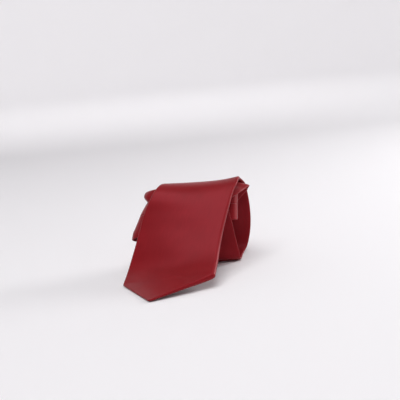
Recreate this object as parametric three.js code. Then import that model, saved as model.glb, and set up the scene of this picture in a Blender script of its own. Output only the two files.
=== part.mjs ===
// A necktie of folded satin, rolled for display: the wide blade hangs from the
// top of the roll and its point rests on the table in front. Millimetres, +Z
// up, +Y towards the back and +X to the right as the blade is looked at.
//
// The whole tie is one long folded strip. A path of rulings (straight lines
// across the strip) carries it from the blade's point, up over the roll, down
// the back, under, up the front, over again, down inside the back, round a
// 45 degree fold and into a flat coil. Every piece is a slice of that strip:
// it is given by how far across (u) and how deep (v) it lies, from s to s.

import * as THREE from 'three';

// ---------------------------------------------------------------- dimensions
const TIE_LENGTH = 1450;
const BLADE_WIDTH = 80;          // across the blade's two corners
const TAIL_WIDTH = 38;           // across the tail's two corners
const NECK_WIDTH = 34;           // narrowest stretch, behind the collar
const NECK_START = 540;          // the narrow stretch, from the blade's point
const NECK_END = 1000;

const SATIN = 0.35;              // one layer of shell cloth
const PAD = 0.6;                 // interlining
const LINING = 0.3;              // tipping behind each point
const EASE = 0.2;                // room between layers of one fold
const LAY = 0.3;                 // room between neighbouring passes of the tie
const HEM = 10;                  // cloth turned in along the two points
const SLIT = 0.5;                // half the gap between the back flaps
const SLIT_AT_TACK = 1.0;        // half the gap where a bar tack closes it

const FRONT_TACK = 99;           // bar tack, from the blade's point
const TAIL_TACK = 64;            // bar tack, from the tail's point
const TACK_LENGTH = 6;
const TACK_CLEAR = 4;            // from a bar tack to the slip stitch
const FRONT_LINED = 112;         // how far the tipping reaches from the point
const TAIL_LINED = 74;
const PAD_FROM = 5;              // the inner strips stop short of each point
const LINING_FROM = 6;
const FRONT_JOIN = 560;          // seams of the shell's three panels
const TAIL_JOIN = 905;

const ROLL_HEIGHT = 72;
const ROLL_FRONT = 85;           // front wall of the roll, behind the point
const TOP_BEND = 11;             // outside bend over the top
const FOOT_BEND_BACK = 12;       // outside bend where the back meets the table
const FOOT_BEND_FRONT = 9;
const BLADE_LEAN = 47;           // degrees the blade has bent when it lifts off
const LEAN_ON_ROLL = 0.6;        // share of those degrees that lie on the roll
const LIFT_AT = 115;             // where it lifts off, from the point

const COIL_LEFT = -14;           // the flat coil inside the roll
const COIL_RIGHT = 81;
const COIL_DROP = 1;             // room over the coil's upper edges

const KEEPER_LENGTH = 44;        // loop that holds the tail when worn
const KEEPER_WIDTH = 9;
const KEEPER_CLOTH = 0.5;
const KEEPER_FOOT = 5;           // sewn down at each end
const KEEPER_RISE = 1.6;         // how far its span stands off the tie
const KEEPER_SLOPE = 1.5;        // run for each rise where it comes down
const KEEPER_LAP = 0.3;          // the slope's underside is set in by this
const LABEL_LENGTH = 32;
const LABEL_WIDTH = 8;
const LABEL_CLOTH = 0.3;
const LABEL_GAP = 0.5;           // above the front's foot bend
const STITCH = [1.2, 0.3, 6];    // a row of stitches: across, high, along

const RED_SATIN = [0x8c262c, 0.4];         // colour and roughness of each cloth
const PAD_CLOTH = [0xd8d2c4, 0.95];
const LINING_CLOTH = [0x6d1d24, 0.55];
const DARK_THREAD = [0x5f141b, 0.7];
const LABEL_TAPE = [0x2a1a1c, 0.6];

// Layers of the fold, measured inwards from the face: the pad lies in the
// middle, with a tipping behind it at each end of the tie.
const PAD_TOP = SATIN + EASE;
const PAD_UNDER = PAD_TOP + PAD;
const LINING_TOP = PAD_UNDER + EASE;
const LINING_UNDER = LINING_TOP + LINING;
const THICK = PAD_UNDER + EASE + SATIN;
const THICK_LINED = LINING_UNDER + EASE + SATIN;
const PITCH = THICK + LAY;       // one pass of the tie to the next

// Blade as it hangs: its point, two corners, and where its edges leave the roll.
const POINT = [0, 0, THICK_LINED];
const CORNER_LEFT = [-22.8, 47, THICK_LINED];
const CORNER_RIGHT = [52.7, 19.6, 12];
const POINT_SHARES = [0.035, 0.25, 0.6, 1];
const BLADE_STEPS = 12;
const BLADE_SAG = 2.2;

// Right-hand edge of the strip, in X, at the named places around the roll.
const EDGE = {
  liftOff: 74.5, topFront: 79, topBack: 85, back: 90, backLow: 90,
  footBack: 83, footFront: 79, front: 77, frontHigh: 70.5,
  innerFront: 79, innerBack: 88, innerDown: 90,
};

// ---------------------------------------------------------- widths along s
const valueAt = (list, at) => {
  const next = list.findIndex(([key]) => key >= at);
  if (next === 0) return list[0][1];
  if (next < 0) return list[list.length - 1][1];
  const [[a, low], [b, high]] = [list[next - 1], list[next]];
  return low + (high - low) * (at - a) / (b - a);
};

const fromTail = (distance) => TIE_LENGTH - distance;

// Whole width: a right-angled point, a quick taper to the neck, a slow flare
// to the tail, and its point.
const WIDTHS = [
  [0, 0],
  [BLADE_WIDTH / 2, BLADE_WIDTH],
  [130, 0.85 * BLADE_WIDTH],
  [300, 0.66 * BLADE_WIDTH],
  [400, 0.52 * BLADE_WIDTH],
  [NECK_START, NECK_WIDTH],
  [NECK_END, NECK_WIDTH],
  [fromTail(TAIL_WIDTH / 2), TAIL_WIDTH],
  [TIE_LENGTH, 0],
];
const halfWidth = (s) => valueAt(WIDTHS, s) / 2;

// Half the gap between the back flaps: an open V over each point.
const SLITS = [
  [0, 0],
  [HEM, 0.2],
  [BLADE_WIDTH / 2, BLADE_WIDTH / 2 - HEM],
  [FRONT_TACK - TACK_LENGTH / 2, SLIT_AT_TACK],
  [FRONT_TACK + TACK_LENGTH / 2 + 1, SLIT_AT_TACK],
  [FRONT_TACK + TACK_LENGTH / 2 + TACK_CLEAR, SLIT],
  [fromTail(TAIL_TACK + TACK_LENGTH / 2 + TACK_CLEAR), SLIT],
  [fromTail(TAIL_TACK + TACK_LENGTH / 2 + 1), SLIT_AT_TACK],
  [fromTail(TAIL_TACK - TACK_LENGTH / 2), SLIT_AT_TACK],
  [fromTail(TAIL_WIDTH / 2), TAIL_WIDTH / 2 - 0.8 * HEM],
  [fromTail(0.8 * HEM), 0.2],
  [TIE_LENGTH, 0],
];
const halfSlit = (s) => valueAt(SLITS, s);

// Thickness of the fold, thicker where a tipping lies in it.
const THICKNESSES = [
  [FRONT_LINED + 2, THICK_LINED],
  [FRONT_LINED + 12, THICK],
  [fromTail(TAIL_LINED + 12), THICK],
  [fromTail(TAIL_LINED + 2), THICK_LINED],
];
const thickness = (s) => valueAt(THICKNESSES, s);

// ------------------------------------------------------------------ the path
const vec = (x, y, z) => new THREE.Vector3(x, y, z);
const X = vec(1, 0, 0);
const Z = vec(0, 0, 1);
const turnSteps = (radius) => (radius > 7 ? 7 : 5);

// A path is a list of rulings. Each has the middle of the strip's face, the
// direction across (left edge to right edge), the face's normal, and stretch,
// which is 1 for a square ruling and more for a slanted one.
class Path {
  constructor() {
    this.rulings = [];
    this.length = 0;
  }

  add(middle, across, normal, stretch = 1) {
    const last = this.rulings.at(-1);
    const core = middle.clone().addScaledVector(normal, -THICK / 2);
    if (last) this.length += core.distanceTo(last.core);
    const s = this.length;
    this.rulings.push({ s, middle, across, normal, stretch, core });
  }

  // Measures the strip afresh from s at the newest ruling.
  startAt(s) {
    this.length = s;
    this.rulings.at(-1).s = s;
  }

  // The same strip at any s, on the straight line between two rulings.
  at(s) {
    const list = this.rulings;
    const found = list.findIndex((ruling) => ruling.s >= s);
    const next = Math.max(1, found < 0 ? list.length - 1 : found);
    const [a, b] = [list[next - 1], list[next]];
    const mix = (s - a.s) / (b.s - a.s);
    return {
      s,
      middle: a.middle.clone().lerp(b.middle, mix),
      across: a.across.clone().lerp(b.across, mix).normalize(),
      normal: a.normal.clone().lerp(b.normal, mix).normalize(),
      stretch: THREE.MathUtils.lerp(a.stretch, b.stretch, mix),
    };
  }
}

// Rulings that run along X round the roll. y and z are on the strip's face,
// tilt is the face's normal in degrees from straight up towards the back, and
// edge is the right-hand edge of the strip there.
const addLevel = (path, y, z, tilt, edge) => {
  const angle = THREE.MathUtils.degToRad(tilt);
  const normal = vec(0, Math.sin(angle), Math.cos(angle));
  const guess = path.length + path.rulings.at(-1).middle.distanceTo(
    vec(path.rulings.at(-1).middle.x, y, z));
  path.add(vec(edge - halfWidth(guess), y, z), X, normal);
};

const addBend = (path, centre, radius, tilts, edges, steps) => {
  for (let step = 0; step <= steps; step += 1) {
    const tilt = THREE.MathUtils.lerp(tilts[0], tilts[1], step / steps);
    const edge = THREE.MathUtils.lerp(edges[0], edges[1], step / steps);
    const angle = THREE.MathUtils.degToRad(tilt);
    const y = centre[0] + radius * Math.sin(angle);
    const z = centre[1] + radius * Math.cos(angle);
    addLevel(path, y, z, tilt, edge);
  }
};

// The point and the hanging blade: rulings from its left edge to its right.
const addBlade = (path, liftLeft, liftRight) => {
  const point = vec(...POINT);
  const left = vec(...CORNER_LEFT);
  const right = vec(...CORNER_RIGHT);
  const edges = POINT_SHARES.map((share) => [
    point.clone().lerp(left, share), point.clone().lerp(right, share),
  ]);
  for (let step = 1; step <= BLADE_STEPS; step += 1) {
    const share = step / BLADE_STEPS;
    const sag = BLADE_SAG * Math.sin(Math.PI * share);
    const across = [left.clone().lerp(liftLeft, share), right.clone().lerp(liftRight, share)];
    edges.push(across.map((edge) => edge.add(vec(0, sag / 2, -sag))));
  }
  edges.forEach(([low, high], index) => {
    const before = edges[Math.max(0, index - 1)];
    const after = edges[Math.min(edges.length - 1, index + 1)];
    const middle = low.clone().add(high).multiplyScalar(0.5);
    const run = after[0].clone().add(after[1]).sub(before[0]).sub(before[1]);
    const across = high.clone().sub(low).normalize();
    const normal = across.clone().cross(run).normalize();
    path.add(middle, across, normal);
    if (index < POINT_SHARES.length) path.startAt(POINT_SHARES[index] * BLADE_WIDTH / 2);
  });
};

// A 45 degree fold that sends the strip from straight down to straight left,
// lying in front of itself.
const addDiagonalFold = (path, x, z, face) => {
  const slant = vec(1, 0, 1).normalize();
  const out = vec(1, 0, -1).normalize();
  const back = vec(0, 1, 0);
  const radius = LAY / 2 + THICK;
  const axis = vec(x, face - radius, z);
  for (let step = 0; step <= 6; step += 1) {
    const angle = Math.PI * step / 6;
    const normal = out.clone().multiplyScalar(Math.sin(angle)).addScaledVector(back, Math.cos(angle));
    path.add(axis.clone().addScaledVector(normal, radius), slant, normal, Math.SQRT2);
  }
};

// The flat coil: straight passes joined by half turns that shrink by half a
// pitch each, wound from the outside in, seam side out. Its upper edges fill
// the rounded top of the roll, whose room starts at the height low.
const addCoil = (path, outerFace, radius, low) => {
  const room = TOP_BEND - PITCH - PITCH;
  const topAt = (outer) => low + Math.sqrt(room ** 2 - Math.max(0, outer - radius + room) ** 2);
  let outer = radius;
  let side = -1;
  let y = outerFace;
  const centres = { '-1': COIL_LEFT + radius, 1: COIL_RIGHT - radius };
  while (path.length < TIE_LENGTH && outer > THICK_LINED) {
    const centreY = y + side * outer;
    const centreX = centres[side];
    const steps = turnSteps(outer);
    for (let step = 0; step <= steps; step += 1) {
      const angle = Math.PI * step / steps;
      const radial = vec(side * Math.sin(angle), -side * Math.cos(angle), 0);
      const face = outer - THICK;
      const height = topAt(outer) - halfWidth(Math.min(path.length, TIE_LENGTH));
      path.add(vec(centreX, centreY, height).addScaledVector(radial, face), Z, radial.clone().negate());
    }
    y = centreY + side * outer;
    outer -= PITCH / 2;
    side = -side;
  }
  const endX = centres[side];
  const normal = path.rulings.at(-1).normal.clone();
  const face = path.rulings.at(-1).middle.y;
  path.add(vec(endX, face, topAt(outer) - TAIL_WIDTH / 2), Z, normal);
};

const buildPath = (coilRadius) => {
  const path = new Path();
  const front = ROLL_FRONT;
  const innerBend = TOP_BEND - PITCH;
  const topFront = front + innerBend;
  const coilFront = front + THICK + LAY;
  const coilBack = coilFront + 2 * coilRadius;
  const downFace = coilBack + PITCH;
  const backFace = downFace + PITCH;
  const topBack = backFace - TOP_BEND;
  const topCentre = ROLL_HEIGHT - TOP_BEND;

  const lean = THREE.MathUtils.degToRad(BLADE_LEAN);
  const lift = vec(0, topFront - TOP_BEND * Math.sin(lean), topCentre + TOP_BEND * Math.cos(lean));
  const liftWidth = 2 * halfWidth(LIFT_AT);
  const liftRight = vec(EDGE.liftOff, lift.y, lift.z);
  const liftLeft = vec(EDGE.liftOff - liftWidth, lift.y, lift.z);
  addBlade(path, liftLeft, liftRight);

  addBend(path, [topFront, topCentre], TOP_BEND, [-BLADE_LEAN * LEAN_ON_ROLL, 0],
    [EDGE.liftOff + 2, EDGE.topFront], 2);
  addBend(path, [topBack, topCentre], TOP_BEND, [0, 90], [EDGE.topBack, EDGE.back], 4);
  addBend(path, [backFace - FOOT_BEND_BACK, FOOT_BEND_BACK], FOOT_BEND_BACK, [90, 180],
    [EDGE.backLow, EDGE.footBack], 4);
  const foot = path.length;
  addBend(path, [front + FOOT_BEND_FRONT, FOOT_BEND_FRONT], FOOT_BEND_FRONT, [180, 270],
    [EDGE.footFront, EDGE.front], 4);
  path.front = path.length;
  addBend(path, [topFront, topCentre], innerBend, [270, 360], [EDGE.frontHigh, EDGE.innerFront], 4);
  addBend(path, [downFace - innerBend, topCentre], innerBend, [360, 450],
    [EDGE.innerBack, EDGE.innerDown], 4);

  path.foot = (foot + path.front - FOOT_BEND_FRONT * Math.PI / 2) / 2;
  const half = halfWidth(path.length + BLADE_WIDTH / 4);
  const foldX = EDGE.innerDown - half;
  const foldZ = topCentre - COIL_DROP - half;
  addDiagonalFold(path, foldX, foldZ, downFace);
  path.add(vec(foldX - half - 1, coilBack - THICK, foldZ), Z, vec(0, -1, 0));
  addCoil(path, coilBack, coilRadius, topCentre - COIL_DROP);
  return path;
};

// The coil is as thick as the length left over needs, and the roll's depth
// follows it.
let coilRadius = THICK_LINED + PITCH;
let path = buildPath(coilRadius);
while (path.length < TIE_LENGTH) {
  coilRadius += PITCH / 2;
  path = buildPath(coilRadius);
}

// ------------------------------------------------------- solids along the path
// Each section is a closed loop of [u, v] pairs with the same count all along.
// shellSection is a C: outer line one way, inner line back.
const shellSection = (s, half) => {
  const deep = thickness(s);
  const round = Math.min(deep / 2, half / 2);
  const slit = Math.min(halfSlit(s), half / 3);
  const side = (turn) => [[half - turn, 0], [half, -deep / 2], [half - turn, -deep]];
  const inner = [
    [half - round - SATIN * 0.4, -SATIN], [half - SATIN * 1.4, -deep / 2],
    [half - round - SATIN * 0.4, -deep + SATIN],
  ];
  const outer = side(round);
  const mirror = (points) => points.map(([u, v]) => [-u, v]).reverse();
  const roundTrip = (points, v) => [
    [-slit, v], ...mirror(points), [0, points[0][1]], ...points, [slit, v],
  ];
  return [...roundTrip(outer, -deep), ...roundTrip(inner, -deep + SATIN).reverse()];
};

const stripSection = (halfAt, top, under) => (s, half) => {
  const wide = halfAt(s, half);
  const [high, low] = [-top, -under];
  return [[-wide, high], [0, high], [wide, high], [wide, low], [0, low], [-wide, low]];
};

const isTailLined = (s) => s > fromTail(TAIL_LINED + 12);

// In the coil the extra thickness at the tail goes inwards, to its free side.
const place = (ruling, s, u, v) => {
  const extra = isTailLined(s) ? thickness(s) - THICK : 0;
  return ruling.middle.clone()
    .addScaledVector(ruling.across, u * ruling.stretch)
    .addScaledVector(ruling.normal, v + extra);
};

const stops = [...WIDTHS, ...SLITS, ...THICKNESSES].map(([s]) => s);

const alongPath = (from, to) => {
  const marks = [from, to, ...stops, ...path.rulings.map((ruling) => ruling.s)];
  const inside = marks.filter((s) => s >= from && s <= to).sort((a, b) => a - b);
  return inside.filter((s, index) => index === 0 || s - inside[index - 1] > 0.05);
};

const toGeometry = (points, triangles) => {
  const geometry = new THREE.BufferGeometry();
  geometry.setAttribute('position', new THREE.Float32BufferAttribute(points.flatMap((p) => p.toArray()), 3));
  geometry.setIndex(triangles);
  geometry.computeVertexNormals();
  return geometry;
};

const sweep = (section, from, to) => {
  const marks = alongPath(from, to);
  const points = [];
  const triangles = [];
  let count = 0;
  marks.forEach((s) => {
    const ruling = path.at(s);
    const loop = section(s, halfWidth(s));
    count = loop.length;
    loop.forEach(([u, v]) => points.push(place(ruling, s, u, v)));
  });
  // Faces on both sides of a layer split along the same diagonal, so that
  // layers nest where the blade twists.
  for (let ring = 0; ring + 1 < marks.length; ring += 1) {
    const loop = section(marks[ring], halfWidth(marks[ring]));
    for (let k = 0; k < count; k += 1) {
      const next = (k + 1) % count;
      const [a, b] = [ring * count + k, ring * count + next];
      if (loop[next][0] > loop[k][0]) triangles.push(a, b, a + count, b, b + count, a + count);
      else triangles.push(a, b, b + count, a, b + count, a + count);
    }
  }
  const last = (marks.length - 1) * count;
  for (let k = 0; k < count / 2 - 1; k += 1) {
    const [a, b, c, d] = [k, k + 1, count - 2 - k, count - 1 - k];
    triangles.push(a, c, b, a, d, c);
    triangles.push(last + a, last + b, last + c, last + a, last + c, last + d);
  }
  return toGeometry(points, triangles);
};

// ----------------------------------------------------------------- materials
const cloth = (color, roughness) => new THREE.MeshStandardMaterial({ color, roughness, metalness: 0 });
const group = new THREE.Group();
const addPiece = (name, geometry, material) => {
  const mesh = new THREE.Mesh(geometry, material);
  mesh.name = name;
  group.add(mesh);
};

// -------------------------------------------------------------------- pieces
const START = path.rulings[0].s;
const END = TIE_LENGTH - START;
const SEAM = LAY / 2;

addPiece('front_panel', sweep(shellSection, START, FRONT_JOIN - SEAM), cloth(...RED_SATIN));
addPiece('neck_panel', sweep(shellSection, FRONT_JOIN + SEAM, TAIL_JOIN - SEAM), cloth(...RED_SATIN));
addPiece('tail_panel', sweep(shellSection, TAIL_JOIN + SEAM, END), cloth(...RED_SATIN));

const NARROWEST = 0.4;           // half width the inner strips keep at a point
const inset = (by) => (s, half) => Math.max(half - by, NARROWEST);
const PAD_INSET = THICK_LINED / 2 + SATIN + EASE;
addPiece('interlining', sweep(stripSection(inset(PAD_INSET), PAD_TOP, PAD_UNDER), PAD_FROM,
  fromTail(PAD_FROM)), cloth(...PAD_CLOTH));

const tipping = stripSection(inset(PAD_INSET + 2 * EASE), LINING_TOP, LINING_UNDER);
addPiece('front_tipping', sweep(tipping, LINING_FROM, FRONT_LINED), cloth(...LINING_CLOTH));
addPiece('tail_tipping', sweep(tipping, fromTail(TAIL_LINED), fromTail(LINING_FROM)), cloth(...LINING_CLOTH));

// Threads lie in the slit between the flaps, in the thickness of the flaps.
const threadIn = (half) => (s) => {
  const deep = thickness(s);
  return [[-half, -deep + SATIN], [half, -deep + SATIN], [half, -deep], [-half, -deep]];
};
const SLIP_FROM = FRONT_TACK + TACK_LENGTH / 2 + TACK_CLEAR;
const SLIP_TO = fromTail(TAIL_TACK + TACK_LENGTH / 2 + TACK_CLEAR);
const thread = () => cloth(...DARK_THREAD);
addPiece('slip_stitch', sweep(threadIn(SLIT - LAY), SLIP_FROM, SLIP_TO), thread());
const tack = (at) => sweep(threadIn(SLIT_AT_TACK - LAY), at - TACK_LENGTH / 2, at + TACK_LENGTH / 2);
addPiece('front_bar_tack', tack(FRONT_TACK), thread());
addPiece('tail_bar_tack', tack(fromTail(TAIL_TACK)), thread());

// A flat-lying piece on the seam side: x across the strip, y away from it and
// z along it, raised off the flaps by lift.
const addOnSeamSide = (name, geometry, material, s, lift) => {
  const ruling = path.at(s);
  const away = ruling.normal.clone().negate();
  const along = ruling.across.clone().cross(away);
  addPiece(name, geometry, material);
  const mesh = group.children.at(-1);
  mesh.position.copy(ruling.middle).addScaledVector(away, thickness(s) + lift);
  mesh.quaternion.setFromRotationMatrix(new THREE.Matrix4().makeBasis(ruling.across, away, along));
};

const keeperGeometry = () => {
  const end = KEEPER_LENGTH / 2;
  const foot = end - KEEPER_FOOT;
  const span = foot - KEEPER_SLOPE * KEEPER_RISE;
  const half = [
    [foot - KEEPER_LAP, 0], [end, 0], [end, KEEPER_CLOTH], [foot, KEEPER_CLOTH],
    [span, KEEPER_CLOTH + KEEPER_RISE],
  ];
  const otherHalf = half.map(([x, y]) => [-x, y]).reverse();
  const under = [[-span + KEEPER_LAP, KEEPER_RISE], [span - KEEPER_LAP, KEEPER_RISE]];
  const outline = [...half, ...otherHalf, ...under].map(([x, y]) => new THREE.Vector2(x, y));
  const geometry = new THREE.ExtrudeGeometry(new THREE.Shape(outline), {
    depth: KEEPER_WIDTH, bevelEnabled: false,
  });
  return geometry.translate(0, 0, -KEEPER_WIDTH / 2);
};

const slab = (wide, high, along, x) => new THREE.BoxGeometry(wide, high, along)
  .translate(x, high / 2, 0);

const KEEPER_AT = path.foot;
const LABEL_AT = path.front + LABEL_WIDTH / 2 + LABEL_GAP;
addOnSeamSide('keeper_loop', keeperGeometry(), cloth(...RED_SATIN), KEEPER_AT, LAY);
addOnSeamSide('blank_label', slab(LABEL_LENGTH, LABEL_CLOTH, LABEL_WIDTH, 0), cloth(...LABEL_TAPE),
  LABEL_AT, LAY);
for (const [side, turn] of [['left', -1], ['right', 1]]) {
  const keeperStitch = slab(...STITCH, turn * (KEEPER_LENGTH / 2 - KEEPER_FOOT / 2));
  addOnSeamSide(`keeper_stitch_${side}`, keeperStitch, thread(), KEEPER_AT, 2 * LAY + KEEPER_CLOTH);
  const labelStitch = slab(...STITCH, turn * (LABEL_LENGTH / 2 - STITCH[0]));
  addOnSeamSide(`label_stitch_${side}`, labelStitch, thread(), LABEL_AT, 2 * LAY + LABEL_CLOTH);
}

// The origin is on the table under the middle of the folded tie.
const bounds = new THREE.Box3().setFromObject(group, true);
const centre = bounds.getCenter(vec(0, 0, 0));
group.position.set(-centre.x, -centre.y, -bounds.min.z);

export default group;
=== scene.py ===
import math

import bpy
import numpy as np
from mathutils import Matrix, Vector


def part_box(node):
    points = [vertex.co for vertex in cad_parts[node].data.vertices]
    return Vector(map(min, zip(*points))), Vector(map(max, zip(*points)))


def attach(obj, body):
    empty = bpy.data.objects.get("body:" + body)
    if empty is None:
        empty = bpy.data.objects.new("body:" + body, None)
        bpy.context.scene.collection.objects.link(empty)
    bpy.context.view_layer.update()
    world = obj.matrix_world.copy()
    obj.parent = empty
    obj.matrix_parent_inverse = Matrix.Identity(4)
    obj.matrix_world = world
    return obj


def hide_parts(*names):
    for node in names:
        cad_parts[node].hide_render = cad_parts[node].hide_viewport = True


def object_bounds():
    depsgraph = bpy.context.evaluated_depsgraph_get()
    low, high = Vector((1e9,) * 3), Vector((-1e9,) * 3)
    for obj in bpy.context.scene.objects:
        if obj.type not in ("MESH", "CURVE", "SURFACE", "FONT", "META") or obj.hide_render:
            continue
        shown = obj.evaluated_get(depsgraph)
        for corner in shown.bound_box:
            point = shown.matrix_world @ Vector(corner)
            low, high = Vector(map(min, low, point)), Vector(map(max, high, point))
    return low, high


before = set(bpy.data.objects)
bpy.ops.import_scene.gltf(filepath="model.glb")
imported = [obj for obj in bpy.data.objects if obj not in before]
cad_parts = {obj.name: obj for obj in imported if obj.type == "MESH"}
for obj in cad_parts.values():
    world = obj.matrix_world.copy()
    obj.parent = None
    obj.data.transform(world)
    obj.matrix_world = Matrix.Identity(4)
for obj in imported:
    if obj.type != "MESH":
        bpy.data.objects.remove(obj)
cad_low, cad_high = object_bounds()


# -------------------------------------------------------------------- wide end
# The shell's front panel: red satin cut on the bias, folded round its lining
# into a flat tube with soft rolled edges, its two flaps meeting along the back.
# It hangs over the roll, and its point lies on the table.

TIE_LENGTH = 1450
BLADE_WIDTH = 80
TAIL_WIDTH = 38
NECK_WIDTH = 28
HEM = 10
FRONT_TACK = 99             # from each point to its bar tack
TAIL_TACK = 64
FRONT_JOIN = 560            # the bias seam to the middle panel
SATIN = 0.27                # one layer of shell cloth, mm
FOLD_EASE = 0.06            # air between the layers of the fold
PAD = 0.42                  # the interlining
LINING = 0.22               # the tipping cloth
THICK = 2 * SATIN + 2 * FOLD_EASE + PAD
PITCH = THICK + 0.08        # one pass of the coil to the next

# Where the blade's point touches the table: from the box's low corner, in mm.
POINT_FROM_LOW = (22.14, -0.774, 0.0)
home = np.array(cad_low) + np.array(POINT_FROM_LOW) / 1000


def in_frame(points):
    """Millimetres from the point to metres in the frame."""
    return np.asarray(points, float) / 1000 + home


# The strip as it lies, from the blade's corners to the fold inside the roll:
# left edge, right edge, and how far the cloth between them swells off a
# straight line, near the left and near the right.
ROLL = [
    ((-23.5, 45.6, 1.9), (52.8, 19.6, 12.2), 0.2, 0.2),        # the two corners
    ((-18.9, 62.0, 11.2), (55.5, 32.0, 18.1), 0.3, 0.6),
    ((-13.4, 69.0, 24.4), (58.6, 44.0, 26.1), 0.4, 0.8),
    ((-7.8, 75.0, 38.4), (62.5, 55.0, 35.8), 0.2, 0.4),
    ((-2.1, 80.2, 52.5), (67.5, 66.0, 47.0), -0.2, 0.0),
    ((4.0, 84.9, 63.4), (72.3, 76.0, 57.0), -0.8, -1.0),
    ((7.8, 90.0, 68.8), (76.2, 84.5, 65.0), -1.6, -2.2),
    ((11.0, 96.0, 71.3), (79.8, 91.0, 69.8), -2.0, -3.0),
    ((14.3, 103.0, 72.0), (82.9, 103.0, 72.6), -2.0, -3.6),     # over the top
    ((17.0, 109.0, 70.6), (84.1, 109.0, 70.4), -1.0, -1.8),
    ((20.0, 114.6, 65.0), (88.2, 114.6, 64.4), 0.0, 0.0),
    ((22.5, 116.8, 55.0), (89.9, 117.0, 55.0), 0.0, 0.0),       # down the back
    ((25.0, 117.2, 40.0), (91.1, 117.4, 40.0), 0.0, 0.0),
    ((26.5, 117.0, 25.0), (90.5, 117.2, 25.0), 0.0, 0.0),
    ((26.5, 115.6, 14.0), (88.5, 115.6, 14.0), 0.0, 0.0),
    ((25.0, 110.6, 5.0), (85.0, 111.0, 5.0), 0.0, 0.0),
    ((22.5, 103.0, 0.6), (80.7, 103.0, 0.8), 0.0, 0.0),         # the foot
    ((21.0, 96.0, 0.0), (79.3, 96.0, 0.0), 0.0, 0.0),
    ((20.0, 88.2, 0.8), (77.8, 88.2, 0.8), 0.0, 0.0),
    ((19.8, 83.4, 4.4), (77.1, 83.4, 4.4), 0.0, 0.0),
    ((19.5, 82.6, 10.0), (76.4, 82.6, 10.0), 0.0, 0.0),
    ((18.5, 83.8, 20.0), (74.9, 83.8, 20.0), 0.4, 0.4),         # up the front
    ((17.0, 85.0, 35.0), (72.8, 85.0, 35.0), 0.6, 0.6),
    ((16.0, 85.0, 50.0), (70.5, 85.0, 50.0), 0.4, 0.4),
    ((17.0, 85.4, 59.5), (71.4, 85.4, 56.6), 0.4, 1.0),
    ((22.0, 88.4, 65.6), (76.0, 87.6, 58.2), 0.0, 4.5),         # the loose corner
    ((29.0, 94.0, 67.8), (82.4, 93.6, 60.2), 0.0, 7.6),
    ((36.0, 100.6, 67.8), (87.2, 100.6, 61.4), 0.0, 7.4),
    ((42.0, 107.0, 67.4), (91.9, 107.4, 62.6), 0.0, 6.2),
    ((46.0, 111.4, 64.6), (91.3, 110.0, 60.8), 0.0, 4.2),
    ((48.4, 113.8, 56.0), (90.4, 112.5, 59.2), 0.0, 1.8),
    ((48.6, 113.9, 44.0), (89.8, 113.6, 58.0), 0.0, 0.2),       # down inside
]


def through(rows, spacing):
    """A smooth line through every row, at even spacing along its middle."""
    rows = np.asarray(rows, float)
    middle = (rows[:, 0:3] + rows[:, 3:6]) / 2
    knots = np.concatenate([[0], np.cumsum(np.linalg.norm(np.diff(middle, axis=0), axis=1))])
    slopes = np.gradient(rows, knots, axis=0)
    places = np.linspace(0, knots[-1], int(knots[-1] / spacing) + 1)
    span = np.clip(np.searchsorted(knots, places, side="right") - 1, 0, len(knots) - 2)
    width = (knots[span + 1] - knots[span])[:, None]
    t = (places - knots[span])[:, None] / width
    start, end = rows[span], rows[span + 1]
    return ((2 * t**3 - 3 * t**2 + 1) * start + (t**3 - 2 * t**2 + t) * width * slopes[span]
            + (3 * t**2 - 2 * t**3) * end + (t**3 - t**2) * width * slopes[span + 1])


def unit(vectors):
    return vectors / np.linalg.norm(vectors, axis=-1, keepdims=True)


def smooth_step(low, high, value):
    """Eases from 0 at low to 1 at high."""
    t = np.clip((value - low) / (high - low), 0, 1)
    return t * t * (3 - 2 * t)


# Rows of distance along the tie and value. First its whole width when folded,
# then half the gap between the back flaps.
WIDTHS = np.array([
    (0, 0), (BLADE_WIDTH / 2, BLADE_WIDTH), (130, 68), (300, 53), (400, 42),
    (540, NECK_WIDTH), (1000, NECK_WIDTH),
    (TIE_LENGTH - TAIL_WIDTH / 2, TAIL_WIDTH), (TIE_LENGTH, 0),
])
SLITS = np.array([
    (0, 0), (HEM, 0.1), (BLADE_WIDTH / 2, BLADE_WIDTH / 2 - HEM), (FRONT_TACK - 3, 0.4),
    (FRONT_TACK + 7, 0.07), (360, 0.03),
    (TIE_LENGTH - TAIL_TACK - 7, 0.03), (TIE_LENGTH - TAIL_TACK + 3, 0.4),
    (TIE_LENGTH - TAIL_WIDTH / 2, TAIL_WIDTH / 2 - 0.8 * HEM),
    (TIE_LENGTH - 0.8 * HEM, 0.1), (TIE_LENGTH, 0),
])
# Thickness of the fold: fullest in the lined blade, pressed flat in the coil.
THICKNESSES = np.array([
    (0, 1.7), (12, 2.2), (112, 2.2), (126, 1.8), (330, 1.6), (400, THICK),
    (TIE_LENGTH - 88, THICK), (TIE_LENGTH - 76, THICK + LINING), (TIE_LENGTH, THICK + LINING),
])


def along(table, s):
    """A table's value at distance s along the tie."""
    return np.interp(s, table[:, 0], table[:, 1])


# Radius of the rolled edges, left and right: fat where the blade hangs free,
# thin where it lies on the table and where the strip is pressed in the coil.
LEFT_ROLLS = np.array([(0, 0.85), (12, 1.05), (45, 1.08), (70, 1.7), (130, 1.5), (200, 1.2),
                       (260, 0.85), (400, THICK / 2), (TIE_LENGTH, THICK / 2)])
RIGHT_ROLLS = np.array([(0, 0.85), (8, 1.1), (24, 1.8), (38, 2.7), (60, 2.6), (110, 2.1),
                        (135, 1.4), (200, 1.1), (260, 0.8), (400, THICK / 2), (TIE_LENGTH, THICK / 2)])

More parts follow.
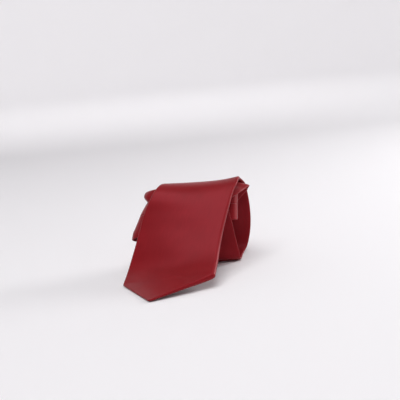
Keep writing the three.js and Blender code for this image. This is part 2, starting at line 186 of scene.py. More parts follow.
# The blade's point: straight hemmed edges from the tip to the two corners.
TIP_HEIGHT = 2.2
TIP_SHARE = 0.015           # the tip is blunt: where on the point the cloth begins
POINT_RULINGS = 30
ROW_SPACING = 1.4           # from ruling to ruling on the roll
corners = np.array([*ROLL[0][0], *ROLL[0][1]])
tip = np.array([0.0, 0.0, TIP_HEIGHT] * 2)
point_shares = np.linspace(TIP_SHARE, 1, POINT_RULINGS)
shares = point_shares[:-1, None]
point_rows = np.hstack([
    tip + (corners - tip) * shares,
    shares**2 * np.array([ROLL[0][2], ROLL[0][3]]),
])
roll_rows = through([[*left, *right, near, far] for left, right, near, far in ROLL], ROW_SPACING)

# The cloth bends softly where the lying point meets the hanging blade.
KNEE_SWELL, KNEE_REACH = 3.2, 13.0
from_corners = np.arange(len(roll_rows)) * ROW_SPACING
roll_rows[:, 6:8] += KNEE_SWELL * np.exp(-from_corners / KNEE_REACH)[:, None]
point_rows[:, 6:8] += KNEE_SWELL * shares * np.exp((shares - 1) * BLADE_WIDTH / 2 / KNEE_REACH)


def distances(rows):
    """How far along the tie from the tip each ruling lies."""
    middle = (rows[:, 0:3] + rows[:, 3:6]) / 2
    steps = np.linalg.norm(np.diff(middle, axis=0), axis=1)
    s = np.concatenate([[0], np.cumsum(steps)])
    order, corner = np.arange(len(s)), len(point_rows)
    on_point = point_shares[np.minimum(order, corner)] * BLADE_WIDTH / 2
    return np.where(order < corner, on_point, s - s[corner] + BLADE_WIDTH / 2)


# Inside the roll the strip turns a corner by a 45 degree fold, then winds into
# a flat coil that leans back, seam side out. Its left turns have slipped.
DOWN_FACE = 113.9           # how far back the strip goes down to its fold
FOLD_X, FOLD_Z = 69.0, 38.5
FOLD_GAP = 0.1              # air inside the fold
FOLD_RULINGS = 17
FOLD_HALF = 20.5            # half the strip's width at the fold
COIL_START = 412            # distance along the tie where the coil begins
COIL_LEFT, COIL_RIGHT = -14.3, 78.6
COIL_FRONT = 86.9
COIL_DEPTH = 17.0
COIL_FOOT = 40.4
COIL_LEAN = math.radians(23)
END_GAP = 4.5               # hollow left inside the outer turn at the right
STRAIGHT_STEP, TURN_STEP = 3.0, 1.1
HEART = 1.1                 # the coil stops when a turn is this many layers deep


def fold_rows(half):
    """The 45 degree fold: slanted rulings turning over on themselves."""
    slant, out = unit(np.array([1.0, 0, 1])), unit(np.array([1.0, 0, -1]))
    radius = FOLD_GAP + THICK
    rows = []
    for angle in np.linspace(0, math.pi, FOLD_RULINGS):
        normal = out * math.sin(angle) + np.array([0, 1, 0]) * math.cos(angle)
        middle = np.array([FOLD_X, DOWN_FACE - radius, FOLD_Z]) + normal * radius
        reach = slant * half * math.sqrt(2)
        rows.append([*(middle - reach), *(middle + reach), 0, 0])
    return np.array(rows)


def in_coil(x, depth, height):
    """A place in the leaning coil: depth from its front, height from its foot."""
    y = COIL_FRONT + depth * math.cos(COIL_LEAN) + height * math.sin(COIL_LEAN)
    z = COIL_FOOT - depth * math.sin(COIL_LEAN) + height * math.cos(COIL_LEAN)
    return np.array([x, y, z])


# How far the coil's left end has slid over, at each height. Then from which
# place across the strip each end gives way, and where it does so fully.
SLIP_HEIGHTS = [28, 33, 36, 48, 55.3, 57, 58.6, 61.4, 64, 66, 67.6, 69.5]
SLIP_SHIFTS = [-1.5, 0, 2, 8.5, 13.8, 15.8, 13.8, 12.1, 13.2, 15.2, 18.2, 22.5]
SOFTENED = 4                # the curve is averaged over this many steps to each side
slip_heights = np.arange(28, 69.6, 0.25)
slip_shifts = np.pad(np.interp(slip_heights, SLIP_HEIGHTS, SLIP_SHIFTS), SOFTENED, mode="edge")
slip_shifts = np.convolve(slip_shifts, np.ones(2 * SOFTENED + 1) / (2 * SOFTENED + 1), "valid")
LOOSE_AFTER = 25            # the coil's first stretch keeps its place
LEFT_FROM, LEFT_FULL = 52, -16
LIFT_FROM, LIFT_FULL = 10, -2
LIFT_FOOT, LIFT_MORE = 0.5, 2.6     # at the coil's foot, and more further up
LIFT_LOW, LIFT_HIGH = 40, 67
RIGHT_FROM, RIGHT_FULL = 45, 80
RIGHT_LEAN, RIGHT_LEVEL, RIGHT_DROP = 0.11, 35, 0.09


def slid(points, s):
    """The coil's loose ends: lifted and far over at the left, leaning at the right."""
    x, y, z = points[..., 0], points[..., 1], points[..., 2]
    coiled = smooth_step(fold_to, fold_to + LOOSE_AFTER, s)[:, None]
    high = np.clip((z - LIFT_LOW) / (LIFT_HIGH - LIFT_LOW), 0, 1)
    lifted = z + coiled * smooth_step(LIFT_FROM, LIFT_FULL, x) * (LIFT_FOOT + LIFT_MORE * high)
    even = np.clip((LEFT_FROM - x) / (LEFT_FROM - LEFT_FULL), 0, 1)
    left = smooth_step(LEFT_FROM, LEFT_FULL, x) * 0.5 + 0.5 * even
    right = smooth_step(RIGHT_FROM, RIGHT_FULL, x)
    shift = left * np.interp(lifted, slip_heights, slip_shifts) + right * RIGHT_LEAN * (z - RIGHT_LEVEL)
    lowered = RIGHT_DROP * right * np.maximum(0, z - COIL_FOOT)
    return np.stack([x + coiled * shift, y, lifted - coiled * lowered], -1)


def coil_rows(start):
    """Straight passes joined by half turns that shrink by half a pitch each."""
    rows = []
    length = start
    outer, side, depth = COIL_DEPTH / 2, -1, COIL_DEPTH
    centre_x = {-1: COIL_LEFT + outer, 1: COIL_RIGHT - outer}
    last = None
    while length < TIE_LENGTH and outer > THICK * HEART:
        centre = depth + side * outer
        face = outer - THICK
        places = []
        for angle in np.linspace(0, math.pi, max(8, int(math.pi * outer / TURN_STEP))):
            places.append((centre_x[side] + side * math.sin(angle) * face,
                           centre - side * math.cos(angle) * face))
        if last is not None:
            count = int(abs(places[0][0] - last[0]) / STRAIGHT_STEP)
            straight = [tuple(np.array(last) + (np.array(places[0]) - last) * k / count)
                        for k in range(1, count)]
            places = straight + places
        for place in places:
            if last is not None:
                length += math.hypot(place[0] - last[0], place[1] - last[1])
            last = place
            width = max(along(WIDTHS, min(length, TIE_LENGTH - TAIL_WIDTH / 2)), NECK_WIDTH)
            foot = in_coil(*place, NECK_WIDTH - width)
            top = in_coil(*place, NECK_WIDTH)
            rows.append([*foot, *top, 0, 0])
        depth = centre + side * outer
        if side == 1 and outer > COIL_DEPTH / 2 - PITCH:
            centre_x[1] -= END_GAP
        outer -= PITCH / 2
        side = -side
    # The last pass runs straight to the tail's point.
    end, count = np.array([centre_x[side], last[1]]), 29
    for k in range(1, count + 1):
        place = np.array(last) + (end - last) * k / count
        rows.append([*in_coil(*place, NECK_WIDTH - TAIL_WIDTH),
                     *in_coil(*place, NECK_WIDTH), 0, 0])
    return np.array(rows)


# The strip drops in from the roll, turns over at the fold, crosses to the left
# and winds up.
fold = fold_rows(FOLD_HALF)
coil = coil_rows(COIL_START)
crossing = np.linspace(0, 1, 22)[1:-1, None]
ease = crossing * crossing * (3 - 2 * crossing)
first_pass = fold[-1] + (coil[0] - fold[-1]) * crossing
first_pass[:, [1, 4]] = (fold[-1] + (coil[0] - fold[-1]) * ease)[:, [1, 4]]
drop = np.linspace(0, 1, 8)[1:-1, None]
drop_in = roll_rows[-1] + (fold[0] - roll_rows[-1]) * drop
rulings = np.vstack([point_rows, roll_rows, drop_in, fold, first_pass, coil])
ruling_s = distances(rulings)
# The slanted rulings of the fold are longer than the strip is wide.
hung = len(point_rows) + len(roll_rows)
fold_from = ruling_s[hung - 2]
fold_to = ruling_s[hung + len(drop_in) + len(fold) + 6]


def strip_at(s, shares):
    """The strip's face at distances s and shares of the width, and its normals."""
    def ruled(where):
        """The strip's straight line across, at each distance."""
        return np.stack([np.interp(where, ruling_s, rulings[:, k]) for k in range(8)], 1)

    def bowed(row, normal, share):
        """Points on that line when it is swelled off straight."""
        left, right = row[:, None, 0:3], row[:, None, 3:6]
        near, far = row[:, None, 6:7], row[:, None, 7:8]
        t = share[:, :, None]
        first = left + (right - left) / 3 + near * normal[:, None]
        second = left + (right - left) * 2 / 3 + far * normal[:, None]
        return ((1 - t)**3 * left + 3 * (1 - t)**2 * t * first
                + 3 * (1 - t) * t**2 * second + t**3 * right)

    reach, aside = 0.5, 0.01    # how far off the slopes are taken
    rows = [ruled(s - reach), ruled(s), ruled(s + reach)]
    chord = unit(rows[1][:, 3:6] - rows[1][:, 0:3])
    run = (rows[2][:, 0:3] + rows[2][:, 3:6]) - (rows[0][:, 0:3] + rows[0][:, 3:6])
    lift = unit(np.cross(chord, run))
    before, here, after = (bowed(row, lift, shares) for row in rows)
    across = (bowed(rows[1], lift, np.clip(shares + aside, 0, 1))
              - bowed(rows[1], lift, np.clip(shares - aside, 0, 1)))
    return here, unit(np.cross(across, after - before))


def half_width(s):
    """Half the strip's width: as laid, and from the fold on no wider than its cut."""
    row = np.stack([np.interp(s, ruling_s, rulings[:, k]) for k in range(6)], 1)
    laid = np.linalg.norm(row[:, 3:6] - row[:, 0:3], axis=1) / 2
    in_fold = (s > fold_from) & (s < fold_to)
    return np.where(in_fold | (s > fold_to), np.minimum(laid, along(WIDTHS, s) / 2), laid)


RIPPLE = 0.22               # on the free blade; next to none in the coil


def ripple(s, u):
    """Slow hand-pressed unevenness of the cloth, in millimetres."""
    loose = RIPPLE * smooth_step(360, 250, s) * smooth_step(6, 30, s) + 0.02
    waves = (np.sin(s / 9.1 + u / 17.0 + 0.4) + 0.8 * np.sin(s / 15.3 - u / 11.0 + 2.1)
             + 0.6 * np.sin(s / 5.7 + u / 7.9 + 1.1))
    return loose * waves / 2.4


EDGE_STEPS, FLAP_STEPS, FACE_STEPS = 8, 20, 20
SETTLE = 5.0                # how far in from a fat edge the back is flat again


def half_section(s, half, rolls, inset):
    """One side of the shell, from the seam round the rolled edge to the middle."""
    # Near a point the strip is narrow, and slit and edge shrink with its width.
    deep, slit = along(THICKNESSES, s), np.minimum(along(SLITS, s), half * 0.8)
    radius = np.minimum(along(rolls, s), half * 0.4)
    wide = np.minimum(radius * 1.25, half * 0.45) - inset
    tall = radius - inset
    edge = half - inset - wide
    share = np.linspace(0, 1, FLAP_STEPS)[None, :-1]
    flap_u = slit[:, None] + np.maximum(edge - slit, 0.02)[:, None] * share
    nearness = smooth_step(-SETTLE, 0, flap_u - edge[:, None])
    flat_v, swollen_v = -deep[:, None] + inset, (-2 * radius)[:, None] + inset
    flap_v = flat_v + (swollen_v - flat_v) * nearness
    turn = np.linspace(-math.pi / 2, math.pi / 2, 2 * EDGE_STEPS)[None, :]
    roll_u = edge[:, None] + wide[:, None] * np.cos(turn)
    roll_v = -radius[:, None] + tall[:, None] * np.sin(turn)
    face_u = edge[:, None] * np.linspace(1, 0, FACE_STEPS)[None, 1:]
    face_v = np.full(face_u.shape, -inset)
    return np.hstack([flap_u, roll_u, face_u]), np.hstack([flap_v, roll_v, face_v])


def shell_section(s, half):
    """The C of the shell: its outer line out and round, its inner line back."""
    lines = []
    for inset in (0.0, SATIN):
        right_u, right_v = half_section(s, half, RIGHT_ROLLS, inset)
        left_u, left_v = half_section(s, half, LEFT_ROLLS, inset)
        lines.append((np.hstack([right_u, -left_u[:, -2::-1]]),
                      np.hstack([right_v, left_v[:, -2::-1]])))
    (outer_u, outer_v), (inner_u, inner_v) = lines
    return np.hstack([outer_u, inner_u[:, ::-1]]), np.hstack([outer_v, inner_v[:, ::-1]])


def placed(s, half, u, v):
    """Points of a section on the laid strip, in millimetres."""
    share = (u / half[:, None] + 1) / 2
    face, normal = strip_at(s, np.clip(share, 0, 1))
    # The lined tail is thicker, and takes the room on its inner side.
    tail_extra = along(THICKNESSES, s) - THICK
    inward = np.where(s > TIE_LENGTH - 90, tail_extra, 0)[:, None]
    points = face + normal * (v + inward + ripple(s[:, None], u))[:, :, None]
    return slid(points, s)


def wall(rings, count):
    """Faces between the neighbouring rings of a closed section."""
    ring, spot = np.meshgrid(np.arange(rings - 1), np.arange(count), indexing="ij")
    a, b = ring * count + spot, ring * count + (spot + 1) % count
    return np.stack([a, b, b + count, a + count], -1).reshape(-1, 4).tolist()


def sewn_piece(name, points, faces, flat):
    """A piece from its points, with the cloth's map from each point's place on the flat."""
    mesh = bpy.data.meshes.new(name)
    mesh.from_pydata(points.tolist(), [], faces)
    cloth = mesh.uv_layers.new(name="cloth")
    spots = np.empty(len(mesh.loops), int)
    mesh.loops.foreach_get("vertex_index", spots)
    cloth.data.foreach_set("uv", flat[spots].ravel())
    mesh.polygons.foreach_set("use_smooth", [True] * len(mesh.polygons))
    mesh.validate()
    mesh.update()
    piece = bpy.data.objects.new(name, mesh)
    bpy.context.scene.collection.objects.link(piece)
    return piece


BACK_BELOW = -0.6           # cloth lower than this in the fold is the back,
BACK_AWAY = 0.2             # mapped this far from the face, in metres


def swept(name, section, start, end, spacing=1.5):
    """A closed solid along the strip, with a map of the cloth in metres."""
    least = 0.3                 # between two rings, and across the narrowest one
    fine = ruling_s[(ruling_s > start + least) & (ruling_s < end - least)]
    marks = np.concatenate([[start], fine, [end]])
    s = [marks[0]]
    for mark in marks[1:]:
        gap = mark - s[-1]
        s.extend(np.linspace(s[-1], mark, max(1, int(math.ceil(gap / spacing))) + 1)[1:])
    s = np.array(s)
    half = np.maximum(half_width(s), least)
    u, v = section(s, half)
    rings, count = u.shape
    faces = wall(rings, count)
    # The ends are closed between the outer and the inner line.
    for first, flip in ((0, False), ((rings - 1) * count, True)):
        for k in range(count // 2 - 1):
            quad = [first + k, first + count - 1 - k, first + count - 2 - k, first + k + 1]
            faces.append(quad[::-1] if flip else quad)
    flat = np.stack([u.ravel(), np.repeat(s, count)], 1) / 1000
    flat[v.ravel() < BACK_BELOW, 0] += BACK_AWAY
    return sewn_piece(name, in_frame(placed(s, half, u, v).reshape(-1, 3)), faces, flat)


def new_material(name):
    """A fresh material with its nodes, its links and its main shader."""
    material = bpy.data.materials.new(name)
    material.use_nodes = True
    nodes, links = material.node_tree.nodes, material.node_tree.links
    return material, nodes, links, nodes["Principled BSDF"]


def woven(name, dark, light, roughness, thread, sheen, relief):
    """Woven cloth: fine ribs on the bias, slubs along them, uneven shine.

    Colours run from dark to light, thread is the ribs' pitch in metres, and
    relief is how strongly the ribs stand up.
    """
    material, nodes, links, shader = new_material(name)

    def node(kind, **values):
        """A node with its sockets set."""
        made = nodes.new(kind)
        for socket, value in values.items():
            made.inputs[socket.replace("_", " ")].default_value = value
        return made

    def on_cloth(texture, scale, turn=0.0):
        """Lays a texture on the cloth's own map, which is in metres."""
        source = nodes.new("ShaderNodeUVMap")
        source.uv_map = "cloth"
        mapping = node("ShaderNodeMapping", Scale=scale, Rotation=(0, 0, turn))
        links.new(source.outputs["UV"], mapping.inputs["Vector"])
        links.new(mapping.outputs["Vector"], texture.inputs["Vector"])

    ribs = node("ShaderNodeTexWave", Scale=1.0, Distortion=0.6, Detail=1.0)
    ribs.bands_direction = "DIAGONAL"
    on_cloth(ribs, (0.32 / thread,) * 3)
    slub = node("ShaderNodeTexNoise", Scale=1.0, Detail=4.0)
    on_cloth(slub, (900, 90, 1), math.radians(45))
    cloud = node("ShaderNodeTexNoise", Scale=45.0, Detail=2.0)
    on_cloth(cloud, (1, 1, 1))
    blend, halve = nodes.new("ShaderNodeMath"), nodes.new("ShaderNodeMath")
    blend.operation, halve.operation = "ADD", "MULTIPLY"
    halve.inputs[1].default_value = 0.5
    links.new(slub.outputs["Fac"], blend.inputs[0])
    links.new(cloud.outputs["Fac"], blend.inputs[1])
    links.new(blend.outputs[0], halve.inputs[0])
    shade = nodes.new("ShaderNodeValToRGB")
    for stop, position, colour in zip(shade.color_ramp.elements, (0.35, 0.65), (dark, light)):
        stop.position, stop.color = position, (*colour, 1)
    links.new(halve.outputs[0], shade.inputs["Fac"])
    links.new(shade.outputs["Color"], shader.inputs["Base Color"])
    rough = node("ShaderNodeMapRange", To_Min=roughness - 0.05, To_Max=roughness + 0.07)
    links.new(slub.outputs["Fac"], rough.inputs["Value"])
    links.new(rough.outputs["Result"], shader.inputs["Roughness"])
    fine = node("ShaderNodeBump", Strength=relief, Distance=0.00006)
    links.new(ribs.outputs["Fac"], fine.inputs["Height"])
    coarse = node("ShaderNodeBump", Strength=0.12, Distance=0.0003)
    links.new(slub.outputs["Fac"], coarse.inputs["Height"])
    links.new(fine.outputs["Normal"], coarse.inputs["Normal"])
    links.new(coarse.outputs["Normal"], shader.inputs["Normal"])
    shader.inputs["Sheen Weight"].default_value = sheen
    shader.inputs["Sheen Roughness"].default_value = 0.35
    shader.inputs["Sheen Tint"].default_value = (1.0, 0.62, 0.68, 1)
    return material, shader


satin, satin_shader = woven("red_satin", dark=(0.205, 0.0075, 0.0100), light=(0.250, 0.0095, 0.0130),
                            roughness=0.40, thread=0.0006, sheen=0.0, relief=0.25)
satin_shader.inputs["Specular IOR Level"].default_value = 0.45
satin_shader.inputs["Specular Tint"].default_value = (1.0, 0.22, 0.28, 1)
satin_shader.inputs["Anisotropic"].default_value = 0.35


def belongs(piece, slot, *nodes):
    """Rides on the tie's one body, and stands for its plain solids."""
    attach(piece, "root")
    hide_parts(*nodes)
    return piece


SEAM = 0.1                  # half the gap where two panels are joined
blade_shell = swept("blade_shell", shell_section, ruling_s[0], FRONT_JOIN - SEAM)
blade_shell.data.materials.append(satin)
belongs(blade_shell, "satin_shell", "front_panel")


# --------------------------------------------------------------- middle panel
# The shell's narrow middle, joined to both ends by cross seams. Same satin,
# folded the same way, and wound into the coil.

TAIL_JOIN = 905             # the bias seam to the narrow end
COILED_SPACING = 2.5        # rings may lie wider apart where the cloth is coiled
neck_shell = swept("neck_shell", shell_section, FRONT_JOIN + SEAM, TAIL_JOIN - SEAM, COILED_SPACING)
neck_shell.data.materials.append(satin)
belongs(neck_shell, "satin_shell", "neck_panel")


# ------------------------------------------------------------------ narrow end
# The tail's shell, a little wider again, with a smaller point of its own. It
# ends in the heart of the coil.

TAIL_BLUNT = 0.6            # the cloth stops this far short of a sharp point
tail_shell = swept("tail_shell", shell_section, TAIL_JOIN + SEAM, TIE_LENGTH - TAIL_BLUNT,
                   COILED_SPACING)
tail_shell.data.materials.append(satin)
belongs(tail_shell, "satin_shell", "tail_panel")


# ----------------------------------------------------------------- interlining
# One long strip of brushed wool mix inside the fold. It gives the tie its body
# and is caught only by the tacks and the seam.

PAD_INSET = 1.5             # it ends this far inside the fold's edges,
PRESSED_INSET = 2.5         # and further in where the strip turns into the coil
PAD_SHORT = 4               # and this far from both points


def pad_section(s, half):
    """The interlining's flat section, its upper and its under side."""
    pressed = PRESSED_INSET * smooth_step(290, 320, s) * smooth_step(480, 440, s)
    reach = np.maximum(half - PAD_INSET - pressed, 0.2)[:, None]
    u = reach * np.linspace(-1, 1, 37)[None, :]
    middle = -along(THICKNESSES, s)[:, None] / 2
    high = np.repeat(middle + PAD / 2, u.shape[1], 1)
    low = np.repeat(middle - PAD / 2, u.shape[1], 1)
    return np.hstack([-u[:, ::-1], u[:, ::-1]]), np.hstack([high, low])


pad_wool, wool_shader = woven("pad_wool", dark=(0.60, 0.56, 0.47), light=(0.74, 0.70, 0.61),
                              roughness=0.9, thread=0.0011, sheen=0.1, relief=0.5)
wool_shader.inputs["Sheen Tint"].default_value = (1, 1, 1, 1)
pad_strip = swept("pad_strip", pad_section, PAD_SHORT, TIE_LENGTH - PAD_SHORT, COILED_SPACING)
pad_strip.data.materials.append(pad_wool)
belongs(pad_strip, "pad_cloth", "interlining")


# -------------------------------------------------------------------- tippings
# The lining behind each point, of smooth dark red cloth. It shows in the open
# V under the blade, between the turned hems.

lining, _ = woven("dark_lining", dark=(0.10, 0.009, 0.014), light=(0.13, 0.012, 0.018),
                  roughness=0.5, thread=0.0005, sheen=0.15, relief=0.2)
LINING_INSET = 1.7          # from the fold's edges
LINING_SHORT = 5            # from either point to the lining's tip
BLADE_LINED, TAIL_LINED = 112, 74   # how far up from its point each end is lined


def lining_section(s, half):
    """A thin flat layer lying just inside the back of the shell."""
    u = np.maximum(half - LINING_INSET, 0.15)[:, None] * np.linspace(-1, 1, 15)[None, :]
    under = -along(THICKNESSES, s)[:, None] + SATIN + 0.05
    low = np.repeat(under, u.shape[1], 1)
    high = np.repeat(under + LINING * 0.8, u.shape[1], 1)
    return np.hstack([u, u[:, ::-1]]), np.hstack([low, high])


blade_lining = swept("blade_lining", lining_section, LINING_SHORT, BLADE_LINED)
tail_lining = swept("tail_lining", lining_section, TIE_LENGTH - TAIL_LINED, TIE_LENGTH - LINING_SHORT)
for piece, node in ((blade_lining, "front_tipping"), (tail_lining, "tail_tipping")):
    piece.data.materials.append(lining)
    belongs(piece, "tipping_cloth", node)


# ------------------------------------------------------------- seam and tacks
# One slip stitch closes the back flaps from tack to tack with a loose zigzag,
# and a bar tack of close stitches holds each end of the seam.

SLIP_THREAD = 0.15          # radius of the long thread that closes the seam,
STITCH_THREAD = 0.16        # of the thread that sews on loop and label,
BAR_THREAD = 0.22           # and of the doubled thread in a bar tack
red_thread, _ = woven("sewing_thread_red", dark=(0.10, 0.006, 0.010), light=(0.16, 0.010, 0.014),
                      roughness=0.6, thread=0.0003, sheen=0.2, relief=0.3)


def tube(name, line, radius, sides=7):
    """A round thread along a line of points in millimetres."""
    line = np.asarray(line, float)
    ahead = unit(np.gradient(line, axis=0))
    aside = unit(np.cross(ahead, np.roll(ahead, 1, axis=1) + np.array([0.31, 0.17, 0.43])))
    for k in range(1, len(line)):       # carried along without a twist
        aside[k] = aside[k - 1] - ahead[k] * np.dot(aside[k - 1], ahead[k])
        aside[k] /= np.linalg.norm(aside[k])
    up = np.cross(ahead, aside)
    angles = np.linspace(0, 2 * math.pi, sides, endpoint=False)
    rings = [line + radius * (math.cos(a) * aside + math.sin(a) * up) for a in angles]
    faces = wall(len(line), sides)
    faces.append(list(range(sides))[::-1])
    faces.append([(len(line) - 1) * sides + j for j in range(sides)])
    spots = np.arange(len(line) * sides)
    flat = np.stack([spots % sides * radius, spots // sides * 0.5], 1) / 1000
    return sewn_piece(name, in_frame(np.stack(rings, 1).reshape(-1, 3)), faces, flat)


def joined_pieces(name, parts):
    """Several loose parts as one piece."""
    with bpy.context.temp_override(active_object=parts[0], selected_editable_objects=parts):
        bpy.ops.object.join()
    parts[0].name = name
    return parts[0]


def on_back(s, u, off):
    """Places on the seam side: s along, u across, off the flaps by off."""
    s, u = np.asarray(s, float), np.asarray(u, float)
    deep = along(THICKNESSES, s)
    return placed(s, half_width(s), u[:, None], (-deep - off)[:, None])[:, 0]


STITCH_PITCH = 5.0
ZIGZAG = 0.75               # how far the thread swings to each side
seam_s = np.arange(FRONT_TACK + 5, TIE_LENGTH - TAIL_TACK - 5, STITCH_PITCH / 6)
zigzag = ZIGZAG * np.sin(seam_s * 2 * math.pi / STITCH_PITCH)
# The thread lies a little sunk between the flaps, deepest where it crosses over.
depth_in = -0.2 - 0.1 * np.cos(seam_s * 4 * math.pi / STITCH_PITCH)
slip = tube("slip_thread", on_back(seam_s, zigzag, depth_in), SLIP_THREAD, 6)
slip.data.materials.append(red_thread)
belongs(slip, "sewing_thread", "slip_stitch")


TACK_LENGTH, TACK_HALF = 6, 2.4
TACK_BARS = 9


def bar_tack(name, at):
    """Close stitches across the seam, bound by one that runs along it."""
    bars, steps = [], 11
    for k in range(TACK_BARS):
        s = at - TACK_LENGTH / 2 + TACK_LENGTH * k / (TACK_BARS - 1)
        u = np.linspace(-TACK_HALF, TACK_HALF, steps)
        off = 0.12 * np.cos(u / TACK_HALF * math.pi / 2) - 0.05
        bars.append(tube(f"{name}_{k}", on_back(np.full(steps, s), u, off), BAR_THREAD))
    run = np.linspace(-3.2, 3.2, 22)
    line = on_back(at + run, 0.3 * np.sin(run * 3), np.full(len(run), 0.28))
    return joined_pieces(name, [*bars, tube(f"{name}_spine", line, STITCH_THREAD)])


for name, at, node in (("blade_tack", FRONT_TACK, "front_bar_tack"),
                       ("tail_tack", TIE_LENGTH - TAIL_TACK, "tail_bar_tack")):
    tack = bar_tack(name, at)
    tack.data.materials.append(red_thread)
    belongs(tack, "sewing_thread", node)


# ----------------------------------------------------------------- keeper loop
# A narrow satin tube pressed flat and sewn down at both ends across the back
# of the blade, inside the roll. The tail slips under it when the tie is worn.

KEEPER_LENGTH, KEEPER_WIDTH = 44.0, 9.0
KEEPER_WALL = 0.22
KEEPER_RISE = 1.5           # its span stands this far off the strip
KEEPER_FOOT = 5             # and this much at each end is sewn down flat
keeper_low, keeper_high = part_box("keeper_loop")
keeper_y = ((keeper_low + keeper_high) / 2).y - home[1]
middles = (rulings[:, 0:3] + rulings[:, 3:6]) / 2


def nearest(axis, value, allowed):
    """Distance along the tie of the allowed ruling that lies nearest on one axis."""
    return ruling_s[int(np.argmin(np.abs(middles[:, axis] - value) + np.where(allowed, 0, 999)))]


keeper_s = nearest(1, keeper_y * 1000, middles[:, 2] < 6)     # on the roll's foot


def flat_tube(name, at, length, width, wall_thick, rise, foot):
    """A flattened cloth tube laid across the strip, its span standing proud."""
    half_high, off = 0.40, 0.12
    u = np.linspace(-length / 2, length / 2, 61)
    reach = length / 2 - foot
    lift = off + rise * smooth_step(0, 5, reach - np.abs(u))
    turn = np.linspace(0, 2 * math.pi, 29)[:-1]
    flatness = np.sign(np.cos(turn)) * np.abs(np.cos(turn))**0.35
    outline = np.stack([flatness * width / 2, half_high + half_high * np.sin(turn)], 1)
    inside = np.stack([flatness * (width / 2 - wall_thick),
                       half_high + (half_high - wall_thick * 0.8) * np.sin(turn)], 1)
    points, count = [], len(turn)
    for ring in (outline, inside):
        for k, place in enumerate(u):
            s = at + ring[:, 0] * (1 - 0.012 * math.cos(place))
            points.append(on_back(s, np.full(count, place), ring[:, 1] + lift[k]))
    total = len(u) * count
    quads = wall(len(u), count)
    faces = [[a, d, c, b] for a, b, c, d in quads]
    faces += [[total + b, total + c, total + d, total + a] for a, b, c, d in quads]
    for k, flip in ((0, True), (len(u) - 1, False)):
        for j in range(count):
            n = (j + 1) % count
            quad = [k * count + j, k * count + n, total + k * count + n, total + k * count + j]
            faces.append(quad[::-1] if flip else quad)
    spots = np.arange(2 * total) % total
    flat = np.stack([u[spots // count], outline[spots % count, 0]], 1) / 1000
    return sewn_piece(name, in_frame(np.vstack(points)), faces, flat)


keeper = flat_tube("keeper_band", keeper_s, KEEPER_LENGTH, KEEPER_WIDTH, KEEPER_WALL,
                   KEEPER_RISE, KEEPER_FOOT)
keeper.data.materials.append(satin)
belongs(keeper, "satin_shell", "keeper_loop")


def stitch_row(name, at, u, length, off, count):
    """A short row of hand stitches along the tie."""
    parts, steps = [], 7
    for k in range(count):
        middle = at - length / 2 + length * (k + 0.5) / count
        reach = length / count * 0.36
        s = np.linspace(middle - reach, middle + reach, steps)
        lift = off + 0.16 * np.sin(np.linspace(0, math.pi, steps)) - 0.05
        parts.append(tube(f"{name}_{k}", on_back(s, np.full(steps, u), lift), STITCH_THREAD))
    return joined_pieces(name, parts)


for name, side, node in (("keeper_sewing_left", -1, "keeper_stitch_left"),
                         ("keeper_sewing_right", 1, "keeper_stitch_right")):
    row = stitch_row(name, keeper_s, side * (KEEPER_LENGTH / 2 - 2.5), KEEPER_WIDTH - 1.5, 0.95, 5)
    row.data.materials.append(red_thread)
    belongs(row, "sewing_thread", node)


# ----------------------------------------------------------------------- label
# A small blank label of dark woven tape, its edges turned under, sewn on by
# its two ends above the keeper loop.

LABEL_LENGTH, LABEL_WIDTH, LABEL_THICK = 32.0, 8.0, 0.25
label_low, label_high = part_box("blank_label")
label_z = ((label_low + label_high) / 2).z * 1000
# On the wall at the front of the roll, not on the blade that hangs before it.
label_s = nearest(2, label_z, (middles[:, 1] < 88) & (ruling_s > 150))
label_tape, _ = woven("label_tape", dark=(0.012, 0.008, 0.009), light=(0.022, 0.014, 0.016),
                      roughness=0.6, thread=0.0009, sheen=0.2, relief=0.6)


def tape(name, at, length, width, thickness):
    """A flat tape whose long edges are turned under."""
    off, fullness = 0.10, 0.14
    u = np.linspace(-length / 2, length / 2, 49)
    aside = np.linspace(-width / 2, width / 2, 15)
    upper = off + thickness + fullness * (1 - (np.abs(aside) / (width / 2))**6)
    under = np.full(len(aside), off)
    ring = np.vstack([np.stack([aside, upper], 1), np.stack([aside[::-1], under], 1)])
    count = len(ring)
    layers = np.vstack([
        on_back(at + ring[:, 0], np.full(count, place), ring[:, 1]) for place in u
    ])
    faces = [[a, d, c, b] for a, b, c, d in wall(len(u), count)]
    faces.append(list(range(count)))
    faces.append([(len(u) - 1) * count + j for j in range(count)][::-1])
    spots = np.arange(len(layers))
    flat = np.stack([u[spots // count], ring[spots % count, 0]], 1) / 1000
    return sewn_piece(name, in_frame(layers), faces, flat)


label = tape("label_band", label_s, LABEL_LENGTH, LABEL_WIDTH, LABEL_THICK)
label.data.materials.append(label_tape)
belongs(label, "label_cloth", "blank_label")
for name, side, node in (("label_sewing_left", -1, "label_stitch_left"),
                         ("label_sewing_right", 1, "label_stitch_right")):
    row = stitch_row(name, label_s, side * (LABEL_LENGTH / 2 - 1.2), LABEL_WIDTH - 1.5, 0.42, 4)
    row.data.materials.append(red_thread)
    belongs(row, "sewing_thread", node)


# ------------------------------------------------------- table, light, camera
# A pale sheet of paper that rises softly all round like a bowl, one broad light
# overhead, a small one at the right and one that brightens the paper behind.

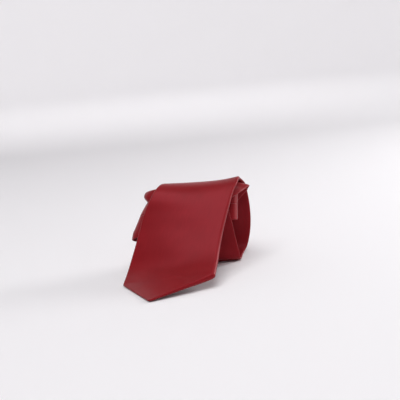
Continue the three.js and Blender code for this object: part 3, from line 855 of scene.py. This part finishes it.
paper, nodes, links, shader = new_material("pale_paper")
shader.inputs["Roughness"].default_value = 1.0
shader.inputs["Specular IOR Level"].default_value = 0.0
shader.inputs["Base Color"].default_value = (0.86, 0.845, 0.86, 1)
FLAT_RADIUS, CURVE_RADIUS, WALL_TOP, SIDES = 2.0, 1.0, 3.2, 72
CURVE_STEPS = 12
profile = [(0.6, 0.0), (FLAT_RADIUS, 0.0)]     # radius and height, from the middle out
for step in range(1, CURVE_STEPS + 1):
    angle = math.pi / 2 * step / CURVE_STEPS
    profile.append((FLAT_RADIUS + CURVE_RADIUS * math.sin(angle), CURVE_RADIUS * (1 - math.cos(angle))))
profile.append((FLAT_RADIUS + CURVE_RADIUS, WALL_TOP))
bowl_points = [(0.0, 0.0, 0.0)]
for radius, height in profile:
    for side in range(SIDES):
        angle = 2 * math.pi * side / SIDES
        bowl_points.append((radius * math.cos(angle), radius * math.sin(angle), height))
bowl_faces = [[0, 1 + side, 1 + (side + 1) % SIDES] for side in range(SIDES)]
for ring in range(len(profile) - 1):
    for side in range(SIDES):
        a, b = 1 + ring * SIDES + side, 1 + ring * SIDES + (side + 1) % SIDES
        bowl_faces.append([a, a + SIDES, b + SIDES, b])
sweep = bpy.data.meshes.new("paper_sweep")
sweep.from_pydata(bowl_points, [], bowl_faces)
sweep.polygons.foreach_set("use_smooth", [True] * len(sweep.polygons))
sweep.materials.append(paper)
floor = bpy.data.objects.new("paper_sweep", sweep)
bpy.context.scene.collection.objects.link(floor)

world = bpy.data.worlds.new("studio")
world.use_nodes = True
world.node_tree.nodes["Background"].inputs["Color"].default_value = (0.96, 0.96, 1.0, 1)
world.node_tree.nodes["Background"].inputs["Strength"].default_value = 0.17
bpy.context.scene.world = world


def soft_light(name, place, target, size, watts):
    """A broad soft light aimed at a target, itself unseen."""
    lamp = bpy.data.lights.new(name, "AREA")
    lamp.shape = "RECTANGLE"
    lamp.size, lamp.size_y = size
    lamp.energy = watts
    holder = bpy.data.objects.new(name, lamp)
    bpy.context.scene.collection.objects.link(holder)
    holder.location = place
    holder.rotation_euler = (Vector(target) - Vector(place)).to_track_quat("-Z", "Y").to_euler()
    holder.visible_camera = False


soft_light("overhead", place=(-0.15, -0.45, 1.7), target=(0, -0.1, 0), size=(1.6, 1.4), watts=23)
soft_light("right_box", place=(1.0, 0.38, 0.42), target=(0, 0, 0.04), size=(0.4, 0.4), watts=6)
soft_light("backdrop", place=(0.0, 0.9, 1.2), target=(0, 3.0, 1.0), size=(3.2, 0.8), watts=27)

# The camera stands in front, a little above the tie, its horizon tipped.
scene = bpy.context.scene
scene.view_settings.view_transform = "Standard"
camera_data = bpy.data.cameras.new("camera")
camera_data.sensor_fit = "HORIZONTAL"
camera_data.angle = math.radians(28)
camera = bpy.data.objects.new("camera", camera_data)
scene.collection.objects.link(camera)
CAMERA_PLACE = (46.82, -588.44, 207.6)
CAMERA_PITCH, CAMERA_ROLL = math.radians(12.5), math.radians(5.5)
turned = Matrix.Rotation(math.pi / 2 - CAMERA_PITCH, 4, "X") @ Matrix.Rotation(-CAMERA_ROLL, 4, "Z")
camera.matrix_world = Matrix.Translation(Vector(in_frame(CAMERA_PLACE))) @ turned
scene.camera = camera
